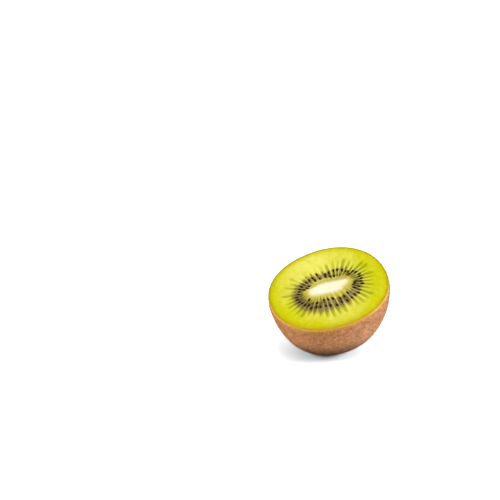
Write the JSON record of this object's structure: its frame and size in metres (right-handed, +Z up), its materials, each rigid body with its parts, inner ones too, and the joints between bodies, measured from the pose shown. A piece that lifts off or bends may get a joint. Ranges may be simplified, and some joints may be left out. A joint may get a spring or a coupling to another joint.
{
  "type": "kiwi fruit half",
  "caption": "Fresh green kiwi fruit cut crosswise, with fuzzy brown peel, bright flesh, a ring of black seeds and a white core, leaning on its rounded end.",
  "frame": {"origin": "under the middle of the piece, at the height of the flat spot it rests on", "axes": "+Z up; +X along the longest way across, to the right when the cut face leans towards the viewer; -Y towards that viewer"},
  "size_m": [0.0528, 0.048, 0.043],
  "materials": {
    "flesh": "wet, slightly translucent yellow-green flesh",
    "seed_bed": "wet, translucent olive-green flesh with pale rays and glossy black seeds",
    "core": "moist cream-white",
    "peel": "thin matt brown peel with short fuzz",
    "seed": "glossy brown-black"
  },
  "bodies": {
    "root": {"flesh": "flesh", "seed_bed": "seed_bed", "core": "core"}
  },
  "joints": []
}
